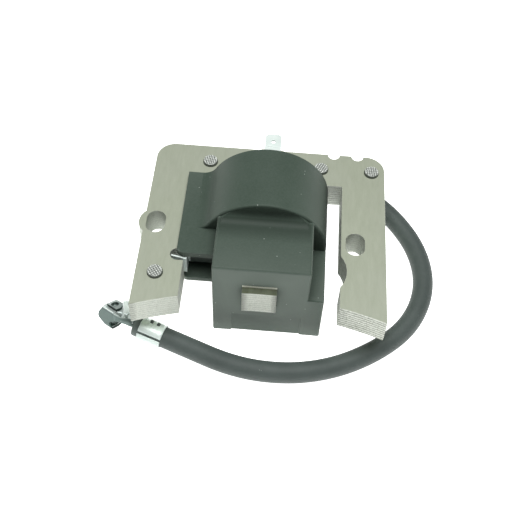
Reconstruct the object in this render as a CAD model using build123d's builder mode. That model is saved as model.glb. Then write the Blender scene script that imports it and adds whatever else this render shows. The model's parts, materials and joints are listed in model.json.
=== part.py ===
from build123d import *
import os
from math import cos, pi, radians, sin, sqrt, tan

# Ignition module of a small engine: a laminated E-shaped steel core whose centre leg runs
# through a potted coil housing, with an ignition lead that ends in a spark-plug clip.
# Millimetres, +Z up. The origin is on the plane of the housing's flat underside, straight
# below the centre leg's middle line and level with the middle of the two mounting slots.
# The legs point to -Y, towards the flywheel.

# ---- laminated core ----
LAMINATIONS = 9
SHEET = 1.2
CORE_THICK = LAMINATIONS * SHEET
HALF_WIDTH = 43.5
OUTER_LEG = 16.0
CENTRE_LEG = 12.0
CORE_BACK = 41.0
BRIDGE = 16.0
BRIDGE_FRONT = CORE_BACK - BRIDGE
FLYWHEEL_RADIUS = 123.0
POLE_TIP = -26.4
LEG_LIMIT = -40.0
BACK_CORNER = 7.0
SLOT_LENGTH = 9.8
SLOT_WIDTH = 6.8
SLOT_LEFT = (-39.35, 1.95)
SLOT_RIGHT = (32.6, -1.95)
EAR_RADIUS = 6.2
BACK_NOTCHES = [(24.1, CORE_BACK), (33.2, CORE_BACK)]
BACK_NOTCH_RADIUS = 2.25
STRAP_NOTCH = (-29.9, -11.9)
STRAP_NOTCH_RADIUS = 2.5
SIDE_NOTCH = (18.6, -14.2)
SIDE_NOTCH_RADIUS = 11.1
RIVETS = [(-22.8, 32.8), (19.3, 32.8), (38.5, 32.8), (-36.5, -20.4)]
RIVET_SHANK = 1.6
RIVET_HEAD = 2.8
RIVET_TOP = 2.55
RIVET_HEIGHT = 1.2

# ---- housing ----
CORE_MID = 22.6
CORE_BOTTOM = CORE_MID - CORE_THICK / 2
CORE_TOP = CORE_MID + CORE_THICK / 2
BARREL_RADIUS = 22.6
BARREL_FRONT = -1.6
HOUSING_FRONT = -24.0
WALL = 2.0
BOX_LEFT = -16.5
BOX_RIGHT = 17.2
BOX_TOP = 38.0
SHELF_TOP = 22.3
FLANGE_LEFT = -30.0
FLANGE_THICK = 2.4
FLANGE_FRONT = -12.9
FLANGE_FILLET = 5.5
LIP_LEFT = -28.6
LIP_THICK = 2.0
LIP_FRONT = -13.9
THROAT_RADIUS = 3.5
EDGE_RADIUS = 0.8
WEDGE_THICK = 1.0
PANEL_LEFT = -9.8
PANEL_RIGHT = 15.2
PANEL_TOP = 11.0
PANEL_DEPTH = 0.4

# ---- terminals ----
BLADE_WIDTH = 6.35
BLADE_THICK = 0.8
BLADE_X = 0.4
BLADE_BOTTOM = CORE_TOP + 0.6
BLADE_JOG = 1.2
BLADE_TIP = 49.6
BLADE_ROOT = 20.8
BLADE_HOLE_Y = BLADE_TIP - 4.0
STRAP_THICK = 0.6
STRAP_BOTTOM = 20.0
STRAP_TOP = 27.8

# ---- coils, all wound round the centre leg ----
FLANGE = 1.0
TUBE_WALL = 1.0
CHARGE_SPAN = (-21.6, -8.0)
TRIGGER_SPAN = (-7.4, -1.4)
PRIMARY_SPAN = (0.8, 19.0)
SECONDARY_INNER = 13.0
SECONDARY_TUBE = 14.0
SECONDARY_RIB = 19.4
SECONDARY_WIRE = 18.6
RIB_COUNT = 5
RIB_THICK = 0.8

# ---- circuit board ----
BOARD_BOTTOM = 8.2
BOARD_THICK = 1.6
BOARD_LEFT = -14.0
BOARD_RIGHT = 20.0
BOARD_FRONT = -21.6
BOARD_BACK = -1.0
WIRE_RADIUS = 0.8
PIN_RADIUS = 0.4
CAPACITOR_LOW = (13.0, -21.0)
CAPACITOR_HIGH = (19.6, -4.0)
CAPACITOR_TOP = 19.8
CAPACITOR_CORNER = 1.0
THYRISTOR_SIDES = (-11.5, -1.5)
THYRISTOR_BODY = (-18.5, -9.5)
THYRISTOR_TAB = -3.5
THYRISTOR_LOW = 4.4
TAB_LOW = 7.2
CASE_CHAMFER = 0.5
DIODE_RADIUS = 1.35
DIODE_BODY = 5.2
DIODE_LEADS = 9.6
DIODE_Y = -14.0
DIODES_X = (3.5, 7.5, 11.5)
RESISTOR_RADIUS = 1.2
RESISTOR_BODY = 6.4
RESISTOR_LEADS = 10.4
RESISTOR_PLACE = (8.0, -5.0)
KILL_WIRE_X = 17.6
KILL_WIRE_Y = (21.8, -3.0)
KILL_WIRE_LOW = 4.4
KILL_WIRE_BEND = 2.0
GROUND_WIRE_X = -13.1
STRAP_MIDDLE = -8.6

# ---- ignition lead ----
BEND_SHARE = 0.45
LEAD_RADIUS = 3.8
STRAND_RADIUS = 1.3
TOWER_RADIUS = 5.8
TOWER_LENGTH = 3.0
GROMMET_RADIUS = 4.8
LEAD_ROUTE = [
    (-17.2, 21.1, 8.6),
    (-12.8, 32.6, 8.4),
    (-2.7, 42.9, 7.4),
    (10.6, 48.5, 6.0),
    (25.0, 48.5, 4.8),
    (38.3, 43.0, 4.1),
    (51.0, 31.5, 3.8),
    (60.0, 15.5, 3.8),
    (62.0, -2.0, 3.8),
    (55.9, -18.6, 3.8),
    (43.5, -30.6, 3.8),
    (28.0, -39.2, 3.8),
    (11.0, -43.0, 3.8),
    (-7.5, -41.6, 3.8),
    (-26.5, -34.2, 3.8),
    (-44.0, -28.7, 5.8),
]
FERRULE_WALL = 0.4
FERRULE_LENGTH = 8.8
FERRULE_SEAM = 0.9
SEAM_ANGLE = 147.0
WINDOWS_ALONG = (3.0, 5.6)
WINDOW_LENGTH = 1.1
WINDOW_WIDTH = 1.9
WINDOW_ANGLE = 60.0
JACKET_STUB = 2.4
CLIP_SHEET = 0.6
CLIP_CENTRE = (-51.85, -25.15, 5.61)
CLIP_ALONG = (0.725, -0.600, 0.336)
CLIP_BACK = (0.685, 0.680, -0.256)
CLIP_HALF = 4.6
WEB_DEPTH = 2.85
WEB_OUTLINE = [
    (-2.6, 4.6),
    (-4.8, 2.1),
    (-6.6, 0.1),
    (-7.1, -1.7),
    (-6.8, -2.4),
    (-2.7, -4.6),
    (0.4, -4.6),
    (1.2, -2.4),
    (2.9, -1.5),
    (3.6, 4.6),
]
UPPER_EAR = [(-2.6, -2.85), (3.6, -2.85), (3.8, 0.2), (3.0, 2.2), (2.1, 2.9), (-1.4, 3.2), (-2.5, 2.5)]
LOWER_EAR = [(-2.7, -2.85), (0.4, -2.85), (0.2, 0.8), (-0.4, 2.5), (-2.2, 2.5), (-3.2, 1.4)]
UPPER_DIMPLE = (0.0, 0.5)
LOWER_DIMPLE = (-1.6, 0.0)
DIMPLE_HOLE = 1.0
DIMPLE_WALL = 0.5
DIMPLE_DEPTH = 0.9
NECK_ROOT = (3.2, 0.35)
NECK_OUTLINE = [
    (-0.3, -1.6),
    (1.0, -0.3),
    (2.3, 0.0),
    (4.1, -0.3),
    (5.5, -0.9),
    (12.0, -1.7),
    (12.0, 1.7),
    (4.6, 2.4),
    (2.8, 1.8),
    (1.8, 2.25),
    (-0.3, 3.2),
]
WING_OUTLINE = [
    (-1.6, -0.2),
    (-1.8, 2.2),
    (-2.4, 4.1),
    (-3.0, 6.6),
    (-2.4, 7.2),
    (-1.6, 7.0),
    (0.2, 5.0),
    (1.6, 3.7),
    (2.8, 2.4),
    (3.0, -0.2),
]
WING_START = (3.6, 1.0)
WING_LEAN = 24.0

os.makedirs("parts", exist_ok=True)


def save(part, label):
    """Name a finished piece and write its STEP file."""
    part.label = label
    export_step(part, f"parts/{label}.step")


def facing_front(y):
    """The XZ plane at this y, with its normal to -Y: local x is X and local y is Z."""
    return Plane.XZ.offset(-y)


def block(low, high, mode=Mode.ADD):
    """A box from its lowest to its highest corner in the active part."""
    size = [b - a for a, b in zip(low, high)]
    middle = [(a + b) / 2 for a, b in zip(low, high)]
    with Locations(Location(tuple(middle))):
        Box(*size, mode=mode)


def rect(left, right, low, high, mode=Mode.ADD):
    """A rectangle between these limits in the active sketch."""
    with Locations(((left + right) / 2, (low + high) / 2)):
        Rectangle(right - left, high - low, mode=mode)


# ======== core laminations and their rivets ========
with BuildSketch() as core_outline:
    rect(-HALF_WIDTH, HALF_WIDTH, LEG_LIMIT, CORE_BACK)
    fillet(core_outline.vertices().group_by(Axis.Y)[-1], BACK_CORNER)
    with Locations(SLOT_LEFT):
        Circle(EAR_RADIUS)
    for side in (-1, 1):
        inner = side * CENTRE_LEG / 2
        outer = side * (HALF_WIDTH - OUTER_LEG)
        rect(min(inner, outer), max(inner, outer), LEG_LIMIT, BRIDGE_FRONT, Mode.SUBTRACT)
    with Locations((0, POLE_TIP - FLYWHEEL_RADIUS)):
        Circle(FLYWHEEL_RADIUS, mode=Mode.SUBTRACT)
    with Locations(SLOT_LEFT, SLOT_RIGHT):
        SlotOverall(SLOT_LENGTH, SLOT_WIDTH, rotation=90, mode=Mode.SUBTRACT)
    with Locations(*BACK_NOTCHES):
        Circle(BACK_NOTCH_RADIUS, mode=Mode.SUBTRACT)
    with Locations(SIDE_NOTCH):
        Circle(SIDE_NOTCH_RADIUS, mode=Mode.SUBTRACT)
    with Locations(STRAP_NOTCH):
        Circle(STRAP_NOTCH_RADIUS, mode=Mode.SUBTRACT)
    notch_low = STRAP_NOTCH[1] - STRAP_NOTCH_RADIUS
    notch_high = STRAP_NOTCH[1] + STRAP_NOTCH_RADIUS
    rect(STRAP_NOTCH[0], OUTER_LEG - HALF_WIDTH, notch_low, notch_high, Mode.SUBTRACT)
    with Locations(*RIVETS):
        Circle(RIVET_SHANK, mode=Mode.SUBTRACT)

for number in range(LAMINATIONS):
    with BuildPart() as lamination:
        with BuildSketch(Plane.XY.offset(CORE_BOTTOM + number * SHEET)):
            add(core_outline.sketch)
        extrude(amount=SHEET)
    save(lamination.part, f"core_lamination_{number + 1:02d}")

from_below = (Align.CENTER, Align.CENTER, Align.MIN)
with BuildPart() as core_rivets:
    with Locations(*[(x, y, CORE_MID) for x, y in RIVETS]):
        Cylinder(RIVET_SHANK, CORE_THICK)
    with Locations(*[(x, y, CORE_TOP) for x, y in RIVETS]):
        Cone(RIVET_HEAD, RIVET_TOP, RIVET_HEIGHT, align=from_below)
    with Locations(*[Location((x, y, CORE_BOTTOM), (180, 0, 0)) for x, y in RIVETS]):
        Cone(RIVET_HEAD, RIVET_TOP, RIVET_HEIGHT, align=from_below)
save(core_rivets.part, "core_rivets")

# ======== moulded housing ========
lead_start = Vector(*LEAD_ROUTE[0])
lead_out = (Vector(*LEAD_ROUTE[1]) - lead_start).normalized()
lead_plane = Plane(origin=lead_start, z_dir=lead_out)
TOWER_END = (BRIDGE_FRONT - lead_start.Y) / lead_out.Y + TOWER_LENGTH
INNER_RADIUS = BARREL_RADIUS - WALL
blade_left = BLADE_X - BLADE_WIDTH / 2
blade_right = BLADE_X + BLADE_WIDTH / 2
wedge_top = CORE_TOP + WEDGE_THICK

# The inside of the housing, open at its underside: a barrel and a box in front of it.
with BuildPart() as cavity:
    with BuildSketch(facing_front(BRIDGE_FRONT - WALL)):
        with Locations((0, CORE_MID)):
            Circle(INNER_RADIUS)
        rect(-INNER_RADIUS, INNER_RADIUS, 0, CORE_MID)
    extrude(amount=BRIDGE_FRONT - BARREL_FRONT - 2 * WALL)
    with BuildSketch(facing_front(BARREL_FRONT + WALL)):
        rect(BOX_LEFT + WALL, BOX_RIGHT - WALL, 0, BOX_TOP - WALL)
        rect(BOX_LEFT + WALL, INNER_RADIUS, 0, SHELF_TOP - WALL)
    extrude(amount=BARREL_FRONT - HOUSING_FRONT)

with BuildPart() as throat:
    with BuildSketch(Plane.YZ.offset(BOX_LEFT)):
        rect(BARREL_FRONT - THROAT_RADIUS, BARREL_FRONT, BOX_TOP, BOX_TOP + THROAT_RADIUS)
        with Locations((BARREL_FRONT - THROAT_RADIUS, BOX_TOP + THROAT_RADIUS)):
            Circle(THROAT_RADIUS, mode=Mode.SUBTRACT)
    extrude(amount=BOX_RIGHT - BOX_LEFT)
    with BuildSketch(facing_front(BARREL_FRONT)):
        with Locations((0, CORE_MID)):
            Circle(BARREL_RADIUS - EDGE_RADIUS)
    extrude(amount=THROAT_RADIUS, mode=Mode.INTERSECT)

with BuildPart() as housing:
    with BuildSketch(facing_front(BRIDGE_FRONT)) as arch:
        with Locations((0, CORE_MID)):
            Circle(BARREL_RADIUS)
        rect(-BARREL_RADIUS, BARREL_RADIUS, 0, CORE_MID)
        rect(FLANGE_LEFT, 0, CORE_TOP, CORE_TOP + FLANGE_THICK)
        flange_rise = CORE_TOP + FLANGE_THICK - CORE_MID
        flange_root = (-sqrt(BARREL_RADIUS**2 - flange_rise**2), CORE_TOP + FLANGE_THICK)
        fillet(arch.vertices().sort_by_distance(flange_root)[0], FLANGE_FILLET)
        rect(LIP_LEFT, 0, CORE_BOTTOM - LIP_THICK, CORE_BOTTOM)
    extrude(amount=BRIDGE_FRONT - BARREL_FRONT)
    arcs = housing.edges().filter_by(GeomType.CIRCLE).group_by(Axis.Y)[0]
    fillet(arcs.sort_by(SortBy.LENGTH)[-1], EDGE_RADIUS)
    with BuildSketch(facing_front(BARREL_FRONT)):
        rect(BOX_LEFT, BOX_RIGHT, 0, BOX_TOP)
        rect(BOX_LEFT, BARREL_RADIUS, 0, SHELF_TOP)
    extrude(amount=BARREL_FRONT - HOUSING_FRONT)
    add(throat.part)
    crease = housing.edges().filter_by(Axis.X).filter_by_position(Axis.Z, BOX_TOP, BOX_TOP)
    fillet(crease.sort_by(Axis.Y)[0], EDGE_RADIUS)
    fillet(housing.edges().filter_by(Axis.Z).group_by(Axis.Y)[0], EDGE_RADIUS)
    block(
        (FLANGE_LEFT, FLANGE_FRONT, CORE_TOP),
        (BOX_LEFT, BARREL_FRONT + EDGE_RADIUS, CORE_TOP + FLANGE_THICK),
    )
    block(
        (LIP_LEFT, LIP_FRONT, CORE_BOTTOM - LIP_THICK),
        (BOX_LEFT, BARREL_FRONT, CORE_BOTTOM),
    )
    upright = housing.edges().filter_by(Axis.Z)
    flange_corner = upright.sort_by_distance((FLANGE_LEFT, FLANGE_FRONT, CORE_TOP))[0]
    lip_corner = upright.sort_by_distance((LIP_LEFT, LIP_FRONT, CORE_BOTTOM))[0]
    fillet([flange_corner, lip_corner], 2.2)
    with BuildSketch(lead_plane):
        Circle(TOWER_RADIUS)
    extrude(amount=TOWER_END)
    add(cavity.part, mode=Mode.SUBTRACT)
    with BuildSketch(lead_plane):
        Circle(LEAD_RADIUS)
    extrude(amount=TOWER_END, mode=Mode.SUBTRACT)
    with BuildSketch(lead_plane.offset(TOWER_END - TOWER_LENGTH)):
        Circle(GROMMET_RADIUS)
    extrude(amount=TOWER_LENGTH, mode=Mode.SUBTRACT)
    leg_side = CENTRE_LEG / 2
    back_inner = BRIDGE_FRONT - WALL
    front_inner = HOUSING_FRONT + WALL
    block((-leg_side, back_inner, CORE_BOTTOM), (leg_side, BRIDGE_FRONT, CORE_TOP), Mode.SUBTRACT)
    block((-leg_side, HOUSING_FRONT, CORE_BOTTOM), (leg_side, front_inner, wedge_top), Mode.SUBTRACT)
    block(
        (blade_left, back_inner, BLADE_BOTTOM),
        (blade_right, BRIDGE_FRONT, BLADE_BOTTOM + BLADE_THICK),
        Mode.SUBTRACT,
    )
    block(
        (BOX_LEFT, STRAP_MIDDLE - STRAP_THICK / 2, STRAP_BOTTOM),
        (BOX_LEFT + WALL, STRAP_MIDDLE + STRAP_THICK / 2, STRAP_TOP),
        Mode.SUBTRACT,
    )
    block(
        (PANEL_LEFT, HOUSING_FRONT, 0),
        (PANEL_RIGHT, HOUSING_FRONT + PANEL_DEPTH, PANEL_TOP),
        Mode.SUBTRACT,
    )
save(housing.part, "housing")

# ======== wedge, terminals and grommet ========
with BuildPart() as core_wedge:
    block((-leg_side, HOUSING_FRONT, CORE_TOP), (leg_side, CHARGE_SPAN[1], wedge_top))
save(core_wedge.part, "core_wedge")

with BuildPart() as terminal_insulator:
    with BuildSketch(Plane.XY.offset(CORE_TOP)):
        rect(blade_left - 1.2, blade_right + 1.2, BRIDGE_FRONT, CORE_BACK)
    extrude(amount=BLADE_BOTTOM - CORE_TOP)
save(terminal_insulator.part, "terminal_insulator")

jog_start = CORE_BACK + 0.4
jog_end = jog_start + 1.6
with BuildPart() as kill_terminal:
    with BuildSketch(Plane.YZ.offset(blade_left)):
        with BuildLine():
            low = [
                (BLADE_ROOT, BLADE_BOTTOM),
                (jog_start, BLADE_BOTTOM),
                (jog_end, BLADE_BOTTOM - BLADE_JOG),
                (BLADE_TIP, BLADE_BOTTOM - BLADE_JOG),
            ]
            high = [(y, z + BLADE_THICK) for y, z in reversed(low)]
            Polyline(*low, *high, close=True)
        make_face()
    extrude(amount=BLADE_WIDTH)
    tip_corners = kill_terminal.edges().filter_by(Axis.Z).group_by(Axis.Y)[-1]
    chamfer(tip_corners, 1.1)
    with Locations((BLADE_X, BLADE_HOLE_Y, BLADE_BOTTOM - BLADE_JOG)):
        Cylinder(0.85, 4 * BLADE_THICK, mode=Mode.SUBTRACT)
save(kill_terminal.part, "kill_terminal")

strap_path = [(-32.0, -12.3), (-26.7, -13.4), (-26.7, STRAP_MIDDLE), (-13.9, STRAP_MIDDLE)]
with BuildPart() as ground_strap:
    with BuildSketch(Plane.XY.offset(STRAP_BOTTOM)):
        with BuildLine() as strap_line:
            Polyline(*strap_path)
        trace(line_width=STRAP_THICK)
    extrude(amount=STRAP_TOP - STRAP_BOTTOM)
save(ground_strap.part, "ground_strap")

with BuildPart() as lead_grommet:
    with BuildSketch(lead_plane.offset(TOWER_END - TOWER_LENGTH)):
        Circle(GROMMET_RADIUS)
    extrude(amount=TOWER_LENGTH)
    with BuildSketch(lead_plane.offset(TOWER_END)):
        Circle(TOWER_RADIUS - 0.3)
    extrude(amount=1.0)
    with BuildSketch(lead_plane.offset(TOWER_END - TOWER_LENGTH)):
        Circle(LEAD_RADIUS + 0.05)
    extrude(amount=TOWER_LENGTH + 1.0, mode=Mode.SUBTRACT)
save(lead_grommet.part, "lead_grommet")


# ======== coils round the centre leg ========
def spool(span, bore_top, flange_x, flange_high, corner):
    """A square spool: a tube that fits the leg, with a flange at each end."""
    front, back = span
    with BuildPart() as made:
        tube_high = bore_top + TUBE_WALL
        tube_low = CORE_BOTTOM - TUBE_WALL
        block((-leg_side - TUBE_WALL, front, tube_low), (leg_side + TUBE_WALL, back, tube_high))
        for edge in (front + FLANGE, back):
            with BuildSketch(facing_front(edge)):
                with Locations((0, CORE_MID)):
                    RectangleRounded(2 * flange_x, 2 * flange_high, corner)
            extrude(amount=FLANGE)
        block((-leg_side, front, CORE_BOTTOM), (leg_side, back, bore_top), Mode.SUBTRACT)
    return made.part


def winding(span, bore_top, outer_x, outer_high, corner):
    """The wire wound on a square spool, between its flanges."""
    front = span[0] + FLANGE
    back = span[1] - FLANGE
    with BuildPart() as made:
        with BuildSketch(facing_front(back)):
            with Locations((0, CORE_MID)):
                RectangleRounded(2 * outer_x, 2 * outer_high, corner)
            tube_side = leg_side + TUBE_WALL
            tube_low = CORE_BOTTOM - TUBE_WALL
            rect(-tube_side, tube_side, tube_low, bore_top + TUBE_WALL, Mode.SUBTRACT)
        extrude(amount=back - front)
    return made.part


charge_spool = spool(CHARGE_SPAN, wedge_top, 12.0, 12.0, 2.5)
charge_winding = winding(CHARGE_SPAN, wedge_top, 11.3, 11.3, 3.0)
trigger_spool = spool(TRIGGER_SPAN, CORE_TOP, 9.5, 9.0, 2.0)
trigger_winding = winding(TRIGGER_SPAN, CORE_TOP, 8.9, 8.4, 2.4)
save(charge_spool, "charge_coil_spool")
save(charge_winding, "charge_coil_winding")
save(trigger_spool, "trigger_coil_spool")
save(trigger_winding, "trigger_coil_winding")

primary_front, primary_back = PRIMARY_SPAN
primary_length = primary_back - primary_front
with BuildPart() as primary_spool:
    tube_side = leg_side + TUBE_WALL
    block(
        (-tube_side, primary_front, CORE_BOTTOM - TUBE_WALL),
        (tube_side, primary_back, CORE_TOP + TUBE_WALL),
    )
    for edge in (primary_front + FLANGE, primary_back):
        with BuildSketch(facing_front(edge)):
            with Locations((0, CORE_MID)):
                Circle(SECONDARY_INNER)
        extrude(amount=FLANGE)
    block((-leg_side, primary_front, CORE_BOTTOM), (leg_side, primary_back, CORE_TOP), Mode.SUBTRACT)
save(primary_spool.part, "primary_spool")

with BuildPart() as primary_winding:
    with BuildSketch(facing_front(primary_back - FLANGE)):
        with Locations((0, CORE_MID)):
            Circle(SECONDARY_INNER)
        rect(
            -tube_side,
            tube_side,
            CORE_BOTTOM - TUBE_WALL,
            CORE_TOP + TUBE_WALL,
            Mode.SUBTRACT,
        )
    extrude(amount=primary_length - 2 * FLANGE)
save(primary_winding.part, "primary_winding")

rib_step = (primary_length - RIB_THICK) / (RIB_COUNT - 1)
with BuildPart() as secondary_spool:
    with BuildSketch(facing_front(primary_back)):
        with Locations((0, CORE_MID)):
            Circle(SECONDARY_TUBE)
    extrude(amount=primary_length)
    for rib in range(RIB_COUNT):
        with BuildSketch(facing_front(primary_back - rib * rib_step)):
            with Locations((0, CORE_MID)):
                Circle(SECONDARY_RIB)
        extrude(amount=RIB_THICK)
    with BuildSketch(facing_front(primary_back)):
        with Locations((0, CORE_MID)):
            Circle(SECONDARY_INNER)
    extrude(amount=primary_length, mode=Mode.SUBTRACT)
save(secondary_spool.part, "secondary_spool")

with BuildPart() as secondary_winding:
    for section in range(RIB_COUNT - 1):
        with BuildSketch(facing_front(primary_back - RIB_THICK - section * rib_step)):
            with Locations((0, CORE_MID)):
                Circle(SECONDARY_WIRE)
                Circle(SECONDARY_TUBE, mode=Mode.SUBTRACT)
        extrude(amount=rib_step - RIB_THICK)
save(secondary_winding.part, "secondary_winding")

# ======== electronics under and beside the charge coil ========
BOARD_TOP = BOARD_BOTTOM + BOARD_THICK
with BuildPart() as circuit_board:
    block((BOARD_LEFT, BOARD_FRONT, BOARD_BOTTOM), (BOARD_RIGHT, BOARD_BACK, BOARD_TOP))
save(circuit_board.part, "circuit_board")

with BuildPart() as storage_capacitor:
    block((*CAPACITOR_LOW, BOARD_TOP), (*CAPACITOR_HIGH, CAPACITOR_TOP))
    fillet(storage_capacitor.edges().filter_by(Axis.Z), CAPACITOR_CORNER)
save(storage_capacitor.part, "storage_capacitor")

left, right = THYRISTOR_SIDES
front, back = THYRISTOR_BODY
with BuildPart() as thyristor:
    block((left, front, THYRISTOR_LOW), (right, back, BOARD_BOTTOM))
    chamfer(thyristor.faces().sort_by(Axis.Z)[0].edges(), CASE_CHAMFER)
    block((left, back, TAB_LOW), (right, THYRISTOR_TAB, BOARD_BOTTOM))
save(thyristor.part, "thyristor")


def leg(x, y):
    """A pin from a component's lead up to the board."""
    low = (x - PIN_RADIUS, y - PIN_RADIUS, diode_height)
    block(low, (x + PIN_RADIUS, y + PIN_RADIUS, BOARD_BOTTOM))


diode_height = BOARD_BOTTOM - DIODE_RADIUS - PIN_RADIUS
diode_reach = DIODE_LEADS / 2 - PIN_RADIUS
diode_places = [Location((x, DIODE_Y, diode_height), (90, 0, 0)) for x in DIODES_X]
with BuildPart() as rectifier_diodes:
    with Locations(*diode_places):
        Cylinder(DIODE_RADIUS, DIODE_BODY)
        Cylinder(PIN_RADIUS, DIODE_LEADS)
    for x in DIODES_X:
        for y in (DIODE_Y - diode_reach, DIODE_Y + diode_reach):
            leg(x, y)
save(rectifier_diodes.part, "rectifier_diodes")

resistor_reach = RESISTOR_LEADS / 2 - PIN_RADIUS
with BuildPart() as gate_resistor:
    with Locations(Location((*RESISTOR_PLACE, diode_height), (0, 90, 0))):
        Cylinder(RESISTOR_RADIUS, RESISTOR_BODY)
        Cylinder(PIN_RADIUS, RESISTOR_LEADS)
    for side in (-1, 1):
        leg(RESISTOR_PLACE[0] + side * resistor_reach, RESISTOR_PLACE[1])
save(gate_resistor.part, "gate_resistor")

blade_middle = BLADE_BOTTOM + BLADE_THICK / 2
kill_back, kill_front = KILL_WIRE_Y
kill_route = [
    (blade_right, kill_back, blade_middle),
    (KILL_WIRE_X, kill_back, blade_middle),
    (KILL_WIRE_X, kill_back, KILL_WIRE_LOW),
    (KILL_WIRE_X, kill_front, KILL_WIRE_LOW),
    (KILL_WIRE_X, kill_front, BOARD_BOTTOM),
]
with BuildPart() as kill_wire:
    with BuildLine() as kill_line:
        FilletPolyline(*kill_route, radius=KILL_WIRE_BEND)
    with BuildSketch(Plane(origin=kill_route[0], z_dir=(1, 0, 0))):
        Circle(WIRE_RADIUS)
    sweep(path=kill_line.wires()[0])
save(kill_wire.part, "kill_wire")

with BuildPart() as ground_wire:
    with BuildSketch(Plane.XY.offset(BOARD_TOP)):
        with Locations((GROUND_WIRE_X, STRAP_MIDDLE)):
            Circle(WIRE_RADIUS)
    extrude(amount=STRAP_TOP - BOARD_TOP)
save(ground_wire.part, "ground_wire")

with BuildPart() as lead_contact:
    with BuildSketch(lead_plane):
        Circle(STRAND_RADIUS)
    extrude(amount=-1.4)
save(lead_contact.part, "lead_contact")

# ======== potting that fills the housing ========
inside = [
    core_wedge.part,
    kill_terminal.part,
    ground_strap.part,
    charge_spool,
    charge_winding,
    trigger_spool,
    trigger_winding,
    primary_spool.part,
    primary_winding.part,
    secondary_spool.part,
    secondary_winding.part,
    circuit_board.part,
    storage_capacitor.part,
    thyristor.part,
    rectifier_diodes.part,
    gate_resistor.part,
    kill_wire.part,
    ground_wire.part,
    lead_contact.part,
]
with BuildPart() as potting_compound:
    add(cavity.part)
    block((-leg_side, front_inner, CORE_BOTTOM), (leg_side, back_inner, CORE_TOP), Mode.SUBTRACT)
    for piece in inside:
        add(piece, mode=Mode.SUBTRACT)
    with BuildSketch(lead_plane):
        Circle(LEAD_RADIUS)
    extrude(amount=TOWER_END, mode=Mode.SUBTRACT)
save(potting_compound.part, "potting_compound")


# ======== ignition lead, its ferrule and the spark-plug clip ========
def bend_radius(before, corner, after):
    """The radius of an arc that starts BEND_SHARE of the shorter run away from its corner."""
    first = corner - before
    second = after - corner
    half_turn = radians(first.get_angle(second)) / 2
    return BEND_SHARE * min(first.length, second.length) / tan(half_turn)


route = [Vector(*point) for point in LEAD_ROUTE]
lead_radii = [bend_radius(*route[i : i + 3]) for i in range(len(route) - 2)]
print("lead bend radii, mm:", [round(radius, 1) for radius in lead_radii])
with BuildLine() as lead_line:
    FilletPolyline(*LEAD_ROUTE, radius=lead_radii)
lead_path = lead_line.wires()[0]

with BuildPart() as lead_jacket:
    with BuildSketch(lead_plane):
        Circle(LEAD_RADIUS)
        Circle(STRAND_RADIUS, mode=Mode.SUBTRACT)
    sweep(path=lead_path)
save(lead_jacket.part, "lead_jacket")

with BuildPart() as lead_conductor:
    with BuildSketch(lead_plane):
        Circle(STRAND_RADIUS)
    sweep(path=lead_path)
save(lead_conductor.part, "lead_conductor")

section = pi * (LEAD_RADIUS**2 - STRAND_RADIUS**2)
print("lead length, mm:", round(lead_path.length, 1))
print("jacket volume over section times length:", lead_jacket.part.volume / section / lead_path.length)

lead_end = route[-1]
outward = (route[-1] - route[-2]).normalized()
level_back = Vector(-outward.Y, outward.X, 0).normalized() * -1
ferrule_plane = Plane(origin=lead_end - outward * JACKET_STUB, x_dir=level_back, z_dir=outward * -1)

with BuildPart() as crimp_ferrule:
    with BuildSketch(ferrule_plane):
        Circle(LEAD_RADIUS + FERRULE_WALL)
        Circle(LEAD_RADIUS, mode=Mode.SUBTRACT)
        with Locations(Rotation(0, 0, SEAM_ANGLE)):
            Rectangle(LEAD_RADIUS * 2, FERRULE_SEAM, align=(Align.MIN, Align.CENTER), mode=Mode.SUBTRACT)
    extrude(amount=FERRULE_LENGTH)
    for along in WINDOWS_ALONG:
        with BuildSketch(ferrule_plane.offset(along)):
            with Locations(Rotation(0, 0, WINDOW_ANGLE)):
                Rectangle(LEAD_RADIUS * 2, WINDOW_WIDTH, align=(Align.MIN, Align.CENTER))
        extrude(amount=WINDOW_LENGTH, mode=Mode.SUBTRACT)
save(crimp_ferrule.part, "crimp_ferrule")

# The clip is one bent sheet: a web between two ears, and a neck that runs to the lead's strand.
clip_along = Vector(*CLIP_ALONG).normalized()
clip_up = clip_along.cross(Vector(*CLIP_BACK)).normalized()
clip_back = clip_up.cross(clip_along)
clip_centre = Vector(*CLIP_CENTRE)
web_plane = Plane(origin=clip_centre, x_dir=clip_along, z_dir=clip_back * -1)
ear_plane = Plane(origin=clip_centre, x_dir=clip_along, z_dir=clip_up)
neck_root = web_plane.from_local_coords((*NECK_ROOT, WEB_DEPTH - CLIP_SHEET / 2))
neck_along = (lead_end - neck_root).normalized()
neck_plane = Plane(origin=neck_root, x_dir=neck_along, z_dir=neck_along.cross(clip_up))
wing_root = neck_plane.from_local_coords((*WING_START, 0))
lean = radians(WING_LEAN)
wing_up = neck_plane.y_dir * cos(lean) - neck_plane.z_dir * sin(lean)
wing_plane = Plane(origin=wing_root, x_dir=neck_along, z_dir=neck_along.cross(wing_up))
inner_face = CLIP_HALF - CLIP_SHEET

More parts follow.
